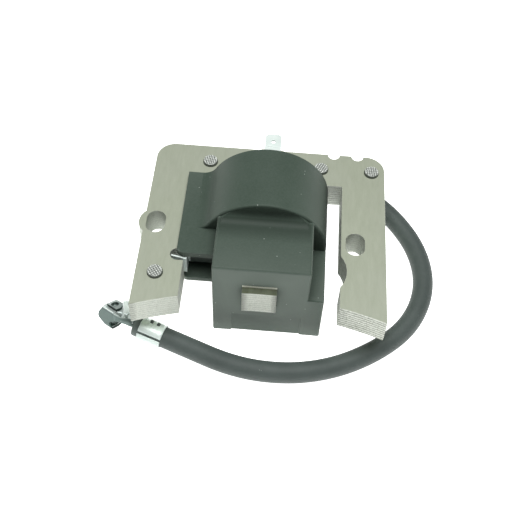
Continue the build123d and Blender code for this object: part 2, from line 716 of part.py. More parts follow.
with BuildPart() as spark_plug_clip:
    with BuildSketch(web_plane.offset(WEB_DEPTH - CLIP_SHEET)):
        with BuildLine():
            Polyline(*WEB_OUTLINE, close=True)
        make_face()
    extrude(amount=CLIP_SHEET)
    for outline, low in ((UPPER_EAR, inner_face), (LOWER_EAR, -CLIP_HALF)):
        with BuildSketch(ear_plane.offset(low)):
            with BuildLine():
                Polyline(*outline, close=True)
            make_face()
        extrude(amount=CLIP_SHEET)
    for place, low in ((UPPER_DIMPLE, inner_face - DIMPLE_DEPTH), (LOWER_DIMPLE, -inner_face)):
        with BuildSketch(ear_plane.offset(low)):
            with Locations(place):
                Circle(DIMPLE_HOLE + DIMPLE_WALL)
        extrude(amount=DIMPLE_DEPTH)
    with BuildSketch(neck_plane.offset(-CLIP_SHEET / 2)):
        with BuildLine():
            Polyline(*NECK_OUTLINE, close=True)
        make_face()
    extrude(amount=CLIP_SHEET)
    with BuildSketch(wing_plane.offset(-CLIP_SHEET / 2)):
        with BuildLine():
            Polyline(*WING_OUTLINE, close=True)
        make_face()
    extrude(amount=CLIP_SHEET)
    for place, low in ((UPPER_DIMPLE, 0), (LOWER_DIMPLE, -CLIP_HALF)):
        with BuildSketch(ear_plane.offset(low)):
            with Locations(place):
                Circle(DIMPLE_HOLE)
        extrude(amount=CLIP_HALF, mode=Mode.SUBTRACT)
    with BuildSketch(Plane(origin=lead_end, z_dir=outward * -1)):
        Circle(3 * LEAD_RADIUS)
    extrude(amount=4 * LEAD_RADIUS, mode=Mode.SUBTRACT)
save(spark_plug_clip.part, "spark_plug_clip")
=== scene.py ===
import json
import math

import bmesh
import bpy
from mathutils import Matrix, Vector
from mathutils.bvhtree import BVHTree
from mathutils.geometry import barycentric_transform


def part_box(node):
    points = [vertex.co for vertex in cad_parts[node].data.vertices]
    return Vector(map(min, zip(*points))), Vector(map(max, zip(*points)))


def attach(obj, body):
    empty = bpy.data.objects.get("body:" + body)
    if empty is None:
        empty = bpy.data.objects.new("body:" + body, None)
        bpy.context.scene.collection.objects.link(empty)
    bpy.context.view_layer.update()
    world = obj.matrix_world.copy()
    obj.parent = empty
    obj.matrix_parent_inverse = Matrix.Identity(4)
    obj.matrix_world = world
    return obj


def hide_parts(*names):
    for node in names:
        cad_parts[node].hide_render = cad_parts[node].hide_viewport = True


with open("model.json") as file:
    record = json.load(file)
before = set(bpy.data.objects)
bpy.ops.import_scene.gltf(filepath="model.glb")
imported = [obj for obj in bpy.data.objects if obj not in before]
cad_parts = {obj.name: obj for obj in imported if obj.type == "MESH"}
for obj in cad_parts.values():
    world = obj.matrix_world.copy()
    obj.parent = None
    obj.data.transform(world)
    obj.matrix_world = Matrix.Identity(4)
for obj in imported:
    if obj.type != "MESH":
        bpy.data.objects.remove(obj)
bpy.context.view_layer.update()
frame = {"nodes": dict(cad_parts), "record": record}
scene = bpy.context.scene
nodes = frame["nodes"]

# Pieces, patches of colour and depths of grain are given in millimetres; Blender wants metres.
MM = 0.001


# ---------- camera ----------
def add_camera():
    position = Vector((4.694, -188.803, 267.751)) * MM
    forward = Vector((-0.014527, 0.591032, -0.806517)).normalized()
    right = Vector((0.997101, 0.068814, 0.032468)).normalized()
    up = right.cross(forward).normalized()
    right = forward.cross(up).normalized()
    data = bpy.data.cameras.new("camera")
    data.lens = 58.28
    data.sensor_width = 36.0
    data.clip_start = 0.01
    data.clip_end = 10.0
    data.dof.use_dof = False
    turn = Matrix((right, up, -forward)).transposed().to_4x4()
    camera = bpy.data.objects.new("camera", data)
    camera.matrix_world = Matrix.Translation(position) @ turn
    scene.collection.objects.link(camera)
    scene.camera = camera


add_camera()

# ---------- shader helpers ----------


class Shader:
    """A node material with short calls for the nodes that this scene uses."""

    def __init__(self, name, **settings):
        self.material = bpy.data.materials.new(name)
        self.material.use_nodes = True
        self.tree = self.material.node_tree
        self.tree.nodes.clear()
        output = self.tree.nodes.new("ShaderNodeOutputMaterial")
        self.bsdf = self.tree.nodes.new("ShaderNodeBsdfPrincipled")
        self.tree.links.new(self.bsdf.outputs["BSDF"], output.inputs["Surface"])
        for key, value in settings.items():
            self.bsdf.inputs[key.replace("_", " ")].default_value = value

    def put(self, value, socket):
        if isinstance(value, bpy.types.NodeSocket):
            self.tree.links.new(value, socket)
        else:
            socket.default_value = value

    def set(self, name, value):
        self.put(value, self.bsdf.inputs[name])

    def place(self):
        if not hasattr(self, "coords"):
            self.coords = self.tree.nodes.new("ShaderNodeTexCoord").outputs["Object"]
        return self.coords

    def noise(self, scale, detail=3.0, rough=0.6, stretch=(1, 1, 1)):
        mapping = self.tree.nodes.new("ShaderNodeMapping")
        self.tree.links.new(self.place(), mapping.inputs["Vector"])
        mapping.inputs["Scale"].default_value = stretch
        node = self.tree.nodes.new("ShaderNodeTexNoise")
        node.inputs["Scale"].default_value = scale
        node.inputs["Detail"].default_value = detail
        node.inputs["Roughness"].default_value = rough
        self.tree.links.new(mapping.outputs["Vector"], node.inputs["Vector"])
        return node.outputs["Fac"]

    def cells(self, scale):
        node = self.tree.nodes.new("ShaderNodeTexVoronoi")
        node.inputs["Scale"].default_value = scale
        self.tree.links.new(self.place(), node.inputs["Vector"])
        return node.outputs["Distance"]

    def axis(self, letter):
        node = self.tree.nodes.new("ShaderNodeSeparateXYZ")
        self.tree.links.new(self.place(), node.inputs["Vector"])
        return node.outputs[letter]

    def normal(self, letter):
        geometry = self.tree.nodes.new("ShaderNodeNewGeometry")
        node = self.tree.nodes.new("ShaderNodeSeparateXYZ")
        self.tree.links.new(geometry.outputs["Normal"], node.inputs["Vector"])
        return node.outputs[letter]

    def occlusion(self, reach):
        """1 on open faces, less where other faces lie within reach."""
        node = self.tree.nodes.new("ShaderNodeAmbientOcclusion")
        node.samples = 8
        node.inputs["Distance"].default_value = reach * MM
        return node.outputs["AO"]

    def pointiness(self):
        return self.tree.nodes.new("ShaderNodeNewGeometry").outputs["Pointiness"]

    def attribute(self, name):
        node = self.tree.nodes.new("ShaderNodeAttribute")
        node.attribute_name = name
        return node.outputs["Fac"]

    def math(self, operation, first, second=0.0):
        node = self.tree.nodes.new("ShaderNodeMath")
        node.operation = operation
        self.put(first, node.inputs[0])
        self.put(second, node.inputs[1])
        return node.outputs[0]

    def ramp(self, value, low, high, first=0.0, last=1.0):
        node = self.tree.nodes.new("ShaderNodeMapRange")
        self.put(value, node.inputs["Value"])
        node.inputs["From Min"].default_value = low
        node.inputs["From Max"].default_value = high
        node.inputs["To Min"].default_value = first
        node.inputs["To Max"].default_value = last
        return node.outputs["Result"]

    def product(self, first, *others):
        for other in others:
            first = self.math("MULTIPLY", first, other)
        return first

    def patch(self, value, limits, first=0.0, last=1.0):
        """A value that runs from first to last while a length goes from one limit to the other."""
        return self.ramp(value, limits[0] * MM, limits[1] * MM, first, last)

    def along(self, letter, limits, first=0.0, last=1.0):
        return self.patch(self.axis(letter), limits, first, last)

    def away_from(self, letter, middle):
        """The distance from a middle plane across an axis, in metres."""
        return self.math("ABSOLUTE", self.math("SUBTRACT", self.axis(letter), middle * MM))

    def by_level(self, low, high, first, last):
        """A value that runs from first to last as faces go from upright to level."""
        return self.ramp(self.math("ABSOLUTE", self.normal("Z")), low, high, first, last)

    def mix(self, factor, first, second):
        node = self.tree.nodes.new("ShaderNodeMix")
        node.data_type = "RGBA"
        self.put(factor, node.inputs[0])
        for value, socket in ((first, node.inputs[6]), (second, node.inputs[7])):
            if isinstance(value, tuple) and len(value) == 3:
                value = (*value, 1.0)
            self.put(value, socket)
        return node.outputs[2]

    def bump(self, height, depth, strength):
        node = self.tree.nodes.new("ShaderNodeBump")
        node.inputs["Strength"].default_value = strength
        node.inputs["Distance"].default_value = depth * MM
        self.put(height, node.inputs["Height"])
        previous = self.bsdf.inputs["Normal"]
        if previous.is_linked:
            self.tree.links.new(previous.links[0].from_socket, node.inputs["Normal"])
        self.tree.links.new(node.outputs["Normal"], previous)


# ---------- materials ----------
CORE_LOW = 17.2
CORE_HIGH = 28.0
SHEET = 1.2
WIRE_PITCH = 0.35
CREVICE_REACH = 12.0

# Where a patch of colour starts and where it is full, along one axis or away from a middle.
TORN_TO_RIGHT = (6.0, 26.0)
POLE_ENDS = (-18.0, -22.0)
BRIDGE_INSIDE = (12.0, 16.0)
BRIDGE_OUTSIDE = (30.0, 27.0)
RIGHT_LEG = (20.0, 22.0)
SHADE_BAND_FRONT = (-23.6, -23.9)
SHADE_BAND_SIDE = (6.6, 6.3)
CORNER_FRONT = (-9.5, -7.5)
ARCH_FRONT = (-11.5, -6.2)
ARCH_BACK = (-0.8, -1.4)
ARCH_SIDE = (16.8, 16.0)
BOX_TOP = (-2.0, -2.6)
UPPER_PART = (20.0, 26.0)
LEAD_TIP = (-39.5, -41.0)
STRAP_DARK_LEFT = (-26.2, -25.6)
STRAP_DARK_RIGHT = (-13.0, -13.6)
STRAP_DARK_FRONT = (-9.6, -9.3)
STRAP_DARK_BACK = (-7.5, -7.8)
RIVET_TOP = (6.40, 6.57)


def core_material():
    """Coated sheet: grey-green rolled faces, and bare sheared edges with a jagged break line."""
    shader = Shader("core_sheet", Metallic=0.2)
    grain = shader.noise(700, 4, 0.7, (1, 0.2, 1))
    blotch = shader.noise(40, 3, 0.6)
    fine = shader.noise(2600, 2, 0.6)
    face = shader.mix(shader.ramp(grain, 0.3, 0.7), (0.325, 0.358, 0.270), (0.372, 0.405, 0.315))
    face = shader.mix(shader.ramp(blotch, 0.35, 0.75, 0, 0.35), face, (0.385, 0.410, 0.345))
    height = shader.math("SUBTRACT", shader.axis("Z"), CORE_LOW * MM)
    sheet = shader.math("FRACT", shader.math("DIVIDE", height, SHEET * MM))
    tear = shader.ramp(shader.noise(1300, 3, 0.7, (1, 1, 0.5)), 0.25, 0.75, -0.35, 0.35)
    torn_part = shader.ramp(shader.math("ADD", sheet, tear), 0.50, 0.40)
    sheared = shader.mix(shader.ramp(fine, 0.3, 0.7), (0.40, 0.43, 0.375), (0.56, 0.59, 0.525))
    torn = shader.mix(shader.ramp(fine, 0.35, 0.65), (0.13, 0.15, 0.11), (0.40, 0.42, 0.36))
    pole_end = shader.along("Y", POLE_ENDS, 0.25, 1.0)
    broken = shader.product(torn_part, shader.along("X", TORN_TO_RIGHT, 0.3, 1.0), pole_end)
    # Painted light: the sheared faces inside the crossbar are painted near white, standing in for
    # bounce light from the floor.
    bridge_light = shader.product(
        shader.along("Y", BRIDGE_INSIDE, 0.0, 0.8), shader.along("Y", BRIDGE_OUTSIDE)
    )
    sheared = shader.mix(bridge_light, sheared, (0.80, 0.83, 0.76))
    right_end = shader.product(pole_end, shader.along("X", RIGHT_LEG), 0.5)
    sheared = shader.mix(right_end, sheared, (0.74, 0.77, 0.70))
    edge = shader.mix(broken, sheared, torn)
    # Painted shade: the centre leg's top just in front of the housing is painted dark olive, where
    # the housing's wall shades it.
    shaded_band = shader.product(
        shader.along("Y", SHADE_BAND_FRONT), shader.patch(shader.away_from("X", 0.0), SHADE_BAND_SIDE)
    )
    band_shade = shader.mix(shader.ramp(grain, 0.3, 0.7), (0.075, 0.092, 0.052), (0.13, 0.15, 0.095))
    face = shader.mix(shaded_band, face, band_shade)
    level = shader.by_level(0.5, 0.9, 0.0, 1.0)
    shader.set("Base Color", shader.mix(level, edge, face))
    shader.set("Roughness", shader.ramp(fine, 0.2, 0.8, 0.46, 0.66))
    shader.bump(shader.noise(1800, 4, 0.7), 0.06, 0.5)
    return shader.material


def housing_material():
    """Moulded nylon, semi-matte: upright sides painted paler as painted bounce light, painted shade
    in corners and under the arch, pale dust specks and rubbed edges.
    """
    shader = Shader("moulded_nylon", Specular_IOR_Level=0.15)
    tone = shader.noise(60, 4, 0.6)
    fine = shader.noise(1400, 3, 0.6)
    base = shader.mix(shader.ramp(tone, 0.3, 0.7), (0.051, 0.075, 0.057), (0.062, 0.088, 0.069))
    base = shader.mix(shader.ramp(fine, 0.35, 0.8, 0, 0.3), base, (0.105, 0.132, 0.113))
    before_barrel = shader.along("Y", ARCH_BACK)
    corner = shader.product(shader.along("Y", CORNER_FRONT), before_barrel)
    # Painted light: upright faces away from the arch are painted paler, as if lit by bounce light
    # from the floor.
    side = shader.product(
        shader.by_level(0.5, 0.95, 0.60, 0.0), shader.math("SUBTRACT", 1.0, corner)
    )
    base = shader.mix(side, base, (0.118, 0.145, 0.124))
    # Painted shade: faces with other faces close by, found by ambient occlusion, are darkened, most
    # on the housing's upper part.
    crevice_shade = shader.ramp(shader.occlusion(CREVICE_REACH), 0.45, 0.90, 0.60, 0.0)
    crevice_shade = shader.product(crevice_shade, shader.along("Z", UPPER_PART, 0.2, 1.0))
    # Painted shade on the barrel's front face above the box and on the box top just in front of it.
    leaning = shader.by_level(0.30, 0.99, 1.0, 0.0)
    arch_shade = shader.product(
        shader.math("MAXIMUM", leaning, shader.along("Y", BOX_TOP)),
        shader.along("Y", ARCH_FRONT),
        before_barrel,
        shader.patch(shader.away_from("X", 0.0), ARCH_SIDE, 0.0, 0.66),
    )
    crevice_shade = shader.math("MAXIMUM", crevice_shade, arch_shade)
    speck = shader.ramp(shader.cells(330), 0.065, 0.04)
    rare = shader.ramp(shader.noise(170, 1, 0.5), 0.50, 0.54)
    dust = shader.product(speck, rare)
    wear_sheen_and_shade = shader.ramp(shader.pointiness(), 0.54, 0.66, 0, 0.4)
    base = shader.mix(wear_sheen_and_shade, base, (0.16, 0.19, 0.165))
    base = shader.mix(dust, base, (0.40, 0.45, 0.41))
    # Painted shade from the crevices and the arch darkens the colour last.
    shader.set("Base Color", shader.mix(crevice_shade, base, (0.024, 0.036, 0.027)))
    shader.set("Roughness", shader.ramp(fine, 0.2, 0.8, 0.46, 0.60))
    shader.bump(fine, 0.05, 0.5)
    shader.bump(tone, 0.3, 0.25)
    return shader.material


def rubber_material(name, dark, light):
    """Rubber with a fine grain, dust specks and a powdery bloom on the lead's tip."""
    shader = Shader(name, Specular_IOR_Level=0.35)
    tone = shader.noise(90, 4, 0.6)
    fine = shader.noise(1700, 3, 0.6)
    base = shader.mix(shader.ramp(tone, 0.3, 0.7), dark, light)
    speck = shader.ramp(shader.cells(500), 0.06, 0.03)
    rare = shader.ramp(shader.noise(210, 1, 0.5), 0.60, 0.66)
    dust = shader.product(speck, rare)
    bloom = shader.along("X", LEAD_TIP, 0.0, 0.7)
    base = shader.mix(bloom, base, (0.13, 0.16, 0.147))
    shader.set("Base Color", shader.mix(dust, base, (0.42, 0.46, 0.43)))
    shader.set("Roughness", shader.ramp(fine, 0.2, 0.8, 0.52, 0.68))
    shader.bump(fine, 0.05, 0.6)
    return shader.material


def finish_metal(shader, colour, blotch, rough):
    """Sets the colour and roughness of bare or plated metal, with fine drawn lines."""
    lines = shader.noise(700, 3, 0.7, (1, 0.12, 1))
    shader.set("Base Color", colour)
    shader.set("Roughness", shader.ramp(blotch, 0.25, 0.75, rough, rough + 0.14))
    shader.bump(lines, 0.04, 0.3)
    return shader.material


def copper_material():
    """Tinned copper wire, worn to a warm blotched tone."""
    shader = Shader("tinned_copper", Metallic=0.85)
    blotch = shader.noise(160, 4, 0.6)
    colour = shader.mix(shader.ramp(blotch, 0.3, 0.7), (0.60, 0.38, 0.24), (0.72, 0.50, 0.34))
    return finish_metal(shader, colour, blotch, 0.3)


def tin_material():
    """Bright tin plate: painted shade on its lower faces, and a dark patch on the strap beside the
    housing.
    """
    shader = Shader("bright_tin", Metallic=0.2)
    blotch = shader.noise(160, 4, 0.6)
    dark = (0.79, 0.90, 0.855)
    colour = shader.mix(shader.ramp(blotch, 0.3, 0.7), dark, (0.88, 0.97, 0.93))
    # Painted shade: faces turned downwards are painted darker.
    lower = shader.ramp(shader.normal("Z"), 0.55, 0.38)
    colour = shader.mix(lower, colour, tuple(0.70 * channel for channel in dark))
    # The strap beside the housing is painted darker inside this box.
    by_housing = shader.product(
        shader.along("X", STRAP_DARK_LEFT),
        shader.along("X", STRAP_DARK_RIGHT),
        shader.along("Y", STRAP_DARK_FRONT),
        shader.along("Y", STRAP_DARK_BACK),
    )
    colour = shader.mix(by_housing, colour, (0.035, 0.048, 0.040))
    return finish_metal(shader, colour, blotch, 0.28)


def rivet_material():
    """Cold-headed steel: a painted highlight on top of the head, and painted shade in the crossing
    cuts and down its side.
    """
    shader = Shader("rivet_steel", Metallic=0.4)
    fine = shader.noise(1600, 3, 0.6)
    # Painted light and shade: by height, the head's top is painted bright and its cuts and side dark.
    lit_top = shader.patch(shader.away_from("Z", (CORE_LOW + CORE_HIGH) / 2), RIVET_TOP)
    bright = shader.mix(shader.ramp(fine, 0.3, 0.7), (0.47, 0.50, 0.46), (0.68, 0.71, 0.67))
    dark = shader.mix(shader.ramp(fine, 0.3, 0.7), (0.07, 0.08, 0.07), (0.16, 0.18, 0.16))
    shader.set("Base Color", shader.mix(lit_top, dark, bright))
    shader.set("Roughness", shader.ramp(fine, 0.2, 0.8, 0.38, 0.58))
    shader.bump(fine, 0.05, 0.5)
    return shader.material


def clip_material():
    """Plated spring steel: dull faces, with painted highlights where a vertex attribute runs from 0
    to 1 and painted shade where it runs from 0 to -1.
    """
    shader = Shader("plated_steel", Metallic=0.4, Specular_IOR_Level=0.25)
    blotch = shader.noise(160, 4, 0.6)
    fine = shader.noise(1500, 3, 0.6)
    wear_sheen_and_shade = shader.attribute("wear_sheen_and_shade")
    face = shader.mix(shader.ramp(blotch, 0.3, 0.7), (0.050, 0.088, 0.076), (0.075, 0.121, 0.107))
    face = shader.mix(shader.ramp(fine, 0.55, 0.75, 0, 0.4), face, (0.13, 0.19, 0.17))
    # Painted highlight where the attribute is above 0, painted shade where it is below 0.
    colour = shader.mix(shader.ramp(wear_sheen_and_shade, 0, 1), face, (0.90, 0.98, 0.95))
    colour = shader.mix(shader.ramp(wear_sheen_and_shade, 0, -1), colour, (0.012, 0.018, 0.016))
    shader.set("Base Color", colour)
    shader.set("Roughness", shader.ramp(blotch, 0.25, 0.75, 0.34, 0.5))
    shader.bump(fine, 0.04, 0.4)
    return shader.material


def plain_plastic(name, dark, light, rough=0.45):
    """Moulded plastic with a faint mottle and a fine grain."""
    shader = Shader(name)
    tone = shader.noise(120, 4, 0.6)
    fine = shader.noise(1500, 3, 0.6)
    shader.set("Base Color", shader.mix(shader.ramp(tone, 0.3, 0.7), dark, light))
    shader.set("Roughness", shader.ramp(fine, 0.2, 0.8, rough, rough + 0.12))
    shader.bump(fine, 0.04, 0.5)
    return shader.material


def winding_material():
    """Enamelled copper wire, its turns side by side along Y."""
    shader = Shader("magnet_wire", Metallic=0.7)
    turn = shader.math("MULTIPLY", shader.axis("Y"), 2 * math.pi / (WIRE_PITCH * MM))
    wave = shader.math("SINE", turn)
    tone = shader.noise(140, 3, 0.6)
    colour = shader.mix(shader.ramp(tone, 0.3, 0.7), (0.36, 0.12, 0.04), (0.52, 0.20, 0.07))
    gap = shader.ramp(wave, -1, 0, 0.6, 0)
    shader.set("Base Color", shader.mix(gap, colour, (0.12, 0.04, 0.015)))
    shader.set("Roughness", shader.ramp(tone, 0.2, 0.8, 0.25, 0.4))
    shader.bump(wave, 0.08, 0.8)
    return shader.material


def resin_material():
    """Cast epoxy with a soft gloss and slow ripples."""
    shader = Shader("cast_epoxy", Coat_Weight=0.25, Coat_Roughness=0.15)
    tone = shader.noise(50, 3, 0.5)
    fine = shader.noise(700, 3, 0.6)
    colour = shader.mix(shader.ramp(tone, 0.3, 0.7), (0.030, 0.032, 0.030), (0.055, 0.058, 0.052))
    shader.set("Base Color", colour)
    shader.set("Roughness", shader.ramp(fine, 0.2, 0.8, 0.22, 0.36))
    shader.bump(tone, 0.6, 0.5)
    shader.bump(fine, 0.04, 0.3)
    return shader.material


BY_SLOT = {
    "core_steel": core_material(),
    "rivet_steel": rivet_material(),
    "housing_plastic": housing_material(),
    "potting_resin": resin_material(),
    "spool_plastic": plain_plastic("spool_nylon", (0.55, 0.53, 0.44), (0.66, 0.64, 0.55)),
    "magnet_wire": winding_material(),
    "board_laminate": plain_plastic("board_laminate", (0.05, 0.16, 0.07), (0.08, 0.22, 0.10), 0.3),
    "component_case": plain_plastic("component_case", (0.03, 0.03, 0.03), (0.05, 0.05, 0.05), 0.4),
    "bare_wire": copper_material(),
    "tinned_steel": tin_material(),
    "clip_steel": clip_material(),
    "cream_plastic": plain_plastic("cream_nylon", (0.62, 0.64, 0.53), (0.74, 0.76, 0.65)),
    "grommet_rubber": rubber_material("grommet_rubber", (0.030, 0.034, 0.031), (0.045, 0.050, 0.046)),
    "lead_rubber": rubber_material("lead_rubber", (0.058, 0.074, 0.068), (0.076, 0.095, 0.088)),
}
SLOT_OF = {entry["node"]: entry["material_slot"] for entry in frame["record"]["subparts"]}
for node, slot in SLOT_OF.items():
    nodes[node].data.materials.clear()
    nodes[node].data.materials.append(BY_SLOT[slot])


# ---------- pieces made from the CAD solids ----------
ON_SURFACE = 0.002
FLAT = math.radians(0.6)


def welded(node):
    """A joined copy of a CAD node's mesh, with its flat faces whole again."""
    made = bmesh.new()
    made.from_mesh(nodes[node].data)
    bmesh.ops.remove_doubles(made, verts=made.verts, dist=ON_SURFACE * MM)
    bmesh.ops.dissolve_limit(made, angle_limit=FLAT, verts=made.verts, edges=made.edges)
    return made


def sharp_edges(made, degrees):
    limit = math.radians(degrees)
    return [e for e in made.edges if len(e.link_faces) == 2 and e.calc_face_angle(0.0) > limit]


def round_edges(made, edges, width, segments=2):
    bmesh.ops.bevel(
        made,
        geom=edges,
        offset=width * MM,
        offset_type="OFFSET",
        segments=segments,
        profile=0.5,
        affect="EDGES",
        clamp_overlap=False,
        miter_outer="SHARP",
    )


def add_piece(made, name, node, smooth=40.0):
    """A finished mesh that stands for a CAD node and rides on the part's body."""
    mesh = bpy.data.meshes.new(name)
    made.to_mesh(mesh)
    made.free()
    mesh.materials.append(BY_SLOT[SLOT_OF[node]])
    mesh.polygons.foreach_set("use_smooth", [True] * len(mesh.polygons))
    mesh.set_sharp_from_angle(angle=math.radians(smooth))
    piece = bpy.data.objects.new(name, mesh)
    scene.collection.objects.link(piece)
    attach(piece, "root")
    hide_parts(node)
    return piece


def shade_like(piece, node):
    """Flat and curved faces shade as the CAD node's do, and the rounds run from one to the next."""
    source, mesh = nodes[node].data, piece.data
    places = [vertex.co.copy() for vertex in source.vertices]
    cad_normals = [normal.vector.copy() for normal in source.corner_normals]
    tree = BVHTree.FromPolygons(places, [tuple(face.vertices) for face in source.polygons])

    def cad_normal(point, reach, facing=None):
        place, normal, index, away = tree.find_nearest(point)
        if away > reach or (facing is not None and normal.dot(facing) < 0.9):
            return None
        face = source.polygons[index]
        corners = [places[vertex] for vertex in face.vertices]
        ends = [cad_normals[corner] for corner in face.loop_indices]
        return barycentric_transform(place, *corners, *ends).normalized()

    on_surface = [cad_normal(vertex.co, ON_SURFACE * MM) for vertex in mesh.vertices]
    own = [vertex.normal.copy() for vertex in mesh.vertices]
    normals = []
    for face in mesh.polygons:
        for vertex in face.vertices:
            place = mesh.vertices[vertex].co
            nudged = place + (face.center - place).normalized() * 10 * ON_SURFACE * MM
            found = cad_normal(nudged, 1.5 * ON_SURFACE * MM, face.normal)
            normals.append(found or on_surface[vertex] or own[vertex])
    mesh.normals_split_custom_set(normals)


def even_shading(piece):
    piece.modifiers.new("even_shading", "WEIGHTED_NORMAL").keep_sharp = True


def add_rounded(node, name, width, allowed=None):
    """A piece like its CAD node, with small rounds on its sharp edges."""
    made = welded(node)
    edges = [edge for edge in sharp_edges(made, 50.0) if allowed is None or allowed(edge)]
    round_edges(made, edges, width, 3)
    bmesh.ops.triangulate(made, faces=made.faces)
    shade_like(add_piece(made, name, node, 180.0), node)


BARREL_JOINT = (-5.6, -0.4)
TOWER_CORNER = (-16.0, 20.0, 18.0)
SHORTEST_EDGE = 0.3


def clear_edge(edge):
    """Housing edges away from the barrel's joint with the box and from the lead's tower."""
    length = edge.calc_length()
    lengthwise = abs(edge.verts[0].co.y - edge.verts[1].co.y) > 0.9 * length
    ends = [vertex.co / MM for vertex in edge.verts]
    at_joint = any(BARREL_JOINT[0] < end.y < BARREL_JOINT[1] for end in ends)
    right, front, top = TOWER_CORNER
    at_tower = any(end.x < right and end.y > front and end.z < top for end in ends)
    return length > SHORTEST_EDGE * MM and not at_tower and (lengthwise or not at_joint)


def add_core_sheet(number):
    """A lamination as the punch leaves it: a rolled upper edge and a nearly sharp lower one."""
    node = f"core_lamination_{number:02d}"
    made = welded(node)
    low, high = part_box(node)
    middle = (low[2] + high[2]) / 2
    rolled = [e for e in sharp_edges(made, 60.0) if min(v.co.z for v in e.verts) > middle]
    round_edges(made, rolled, 0.11)
    burred = [e for e in sharp_edges(made, 60.0) if max(v.co.z for v in e.verts) < middle]
    round_edges(made, burred, 0.05, 1)
    even_shading(add_piece(made, f"core_sheet_{number:02d}", node))


for sheet_number in range(1, 10):
    add_core_sheet(sheet_number)
add_rounded("housing", "moulded_housing", 0.25, clear_edge)
add_rounded("core_wedge", "leg_wedge", 0.1)
add_rounded("terminal_insulator", "terminal_pad", 0.12)
add_rounded("kill_terminal", "kill_blade", 0.1)
add_rounded("ground_strap", "folded_ground_strap", 0.1)
add_rounded("lead_grommet", "lead_boot_ring", 0.3)

# ---------- rivets with crosswise-cut heads ----------
RIVETS = [(-22.8, 32.8, 20.0), (19.3, 32.8, 66.0), (38.5, 32.8, 8.0), (-36.5, -20.4, 35.0)]
RIVET_BASE = 2.8
RIVET_RIM = 2.45
RIVET_SHANK = 1.6
RIVET_HEIGHT = 1.2
CUT_PITCH = 0.85
CUT_DEPTH = 0.22
CUT_LAND = 0.45
RIVET_SIDES = 96
TOP_RINGS = 24
HEAD_SIDE = [
    (RIVET_SHANK, 0.0),
    (RIVET_BASE, 0.0),
    (RIVET_BASE, 0.12),
    (RIVET_BASE - 0.06, 0.6),
    (RIVET_RIM + 0.13, 1.0),
    (RIVET_RIM + 0.04, 1.12),
    (RIVET_RIM, 1.15),
]


def cut_depth(x, y, turn):
    """How deep the crossing grooves of a head are at a point from its middle."""
    across = x * math.cos(turn) + y * math.sin(turn)
    along = y * math.cos(turn) - x * math.sin(turn)
    nearest = max(abs((c / CUT_PITCH) % 1.0 - 0.5) for c in (across, along)) * 2
    return CUT_DEPTH * max(0.0, nearest - CUT_LAND) / (1 - CUT_LAND)


def join_rings(made, rows):
    """Faces from each closed ring of vertices to the next."""
    for first, second in zip(rows, rows[1:]):
        count = len(first)
        for side in range(count):
            after = (side + 1) % count
            made.faces.new((first[side], first[after], second[after], second[side]))


def close_ends(made, rows):
    made.faces.new(rows[-1])
    made.faces.new(list(reversed(rows[0])))


def add_head(made, x, y, base, up, turn):
    """A head that stands up, or down, from a face of the core, its top cut crosswise."""
    rings = [(radius, height, False) for radius, height in HEAD_SIDE]
    for step in range(1, TOP_RINGS):
        rings.append((RIVET_RIM * (1 - step / TOP_RINGS), RIVET_HEIGHT, True))
    rows = []
    for radius, height, cut in rings:
        row = []
        for side in range(RIVET_SIDES):
            angle = up * 2 * math.pi * side / RIVET_SIDES
            dx, dy = radius * math.cos(angle), radius * math.sin(angle)
            drop = cut_depth(dx, dy, turn) if cut else 0.0
            place = Vector((x + dx, y + dy, base + up * (height - drop))) * MM
            row.append(made.verts.new(place))
        rows.append(row)
    join_rings(made, rows)
    close_ends(made, rows)


def add_rivets():
    made = bmesh.new()
    for x, y, degrees in RIVETS:
        for base, up in ((CORE_HIGH, 1), (CORE_LOW, -1)):
            add_head(made, x, y, base, up, math.radians(degrees))
    add_piece(made, "cut_rivets", "core_rivets", 50.0)


add_rivets()

# ---------- ignition lead ----------
LEAD_ROUTE = [
    (-17.2, 21.1, 8.6),
    (-12.8, 32.6, 8.4),
    (-2.7, 42.9, 7.4),
    (10.6, 48.5, 6.0),
    (25.0, 48.5, 4.8),
    (38.3, 43.0, 4.1),
    (51.0, 31.5, 3.8),
    (60.0, 15.5, 3.8),
    (62.0, -2.0, 3.8),
    (55.9, -18.6, 3.8),
    (43.5, -30.6, 3.8),
    (28.0, -39.2, 3.8),
    (11.0, -43.0, 3.8),
    (-7.5, -41.6, 3.8),
    (-26.5, -34.2, 3.8),
    (-44.0, -28.7, 5.8),
]
LEAD_RADIUS = 3.8
LEAD_SIDES = 40
STRAND_RADIUS = 1.3
END_CLEAR = 0.6
CUT_END = [
    (0.35, LEAD_RADIUS),
    (0.1, LEAD_RADIUS - 0.12),
    (0.0, LEAD_RADIUS - 0.38),
    (0.0, STRAND_RADIUS + 0.25),
    (0.9, STRAND_RADIUS + 0.05),
]


def lead_points():
    """The points of the lead's smooth line, in metres, from its route's NURBS spline."""
    curve = bpy.data.curves.new("lead_route", "CURVE")
    curve.dimensions = "3D"
    spline = curve.splines.new("NURBS")
    spline.points.add(len(LEAD_ROUTE) - 1)
    for point, place in zip(spline.points, LEAD_ROUTE):
        point.co = (*(Vector(place) * MM), 1.0)
    spline.order_u = 3
    spline.use_endpoint_u = True
    spline.resolution_u = 14
    bare = bpy.data.objects.new("lead_route", curve)
    line = bpy.data.meshes.new_from_object(bare)
    points = [vertex.co.copy() for vertex in line.vertices]
    bpy.data.meshes.remove(line)
    bpy.data.objects.remove(bare)
    bpy.data.curves.remove(curve)
    return points


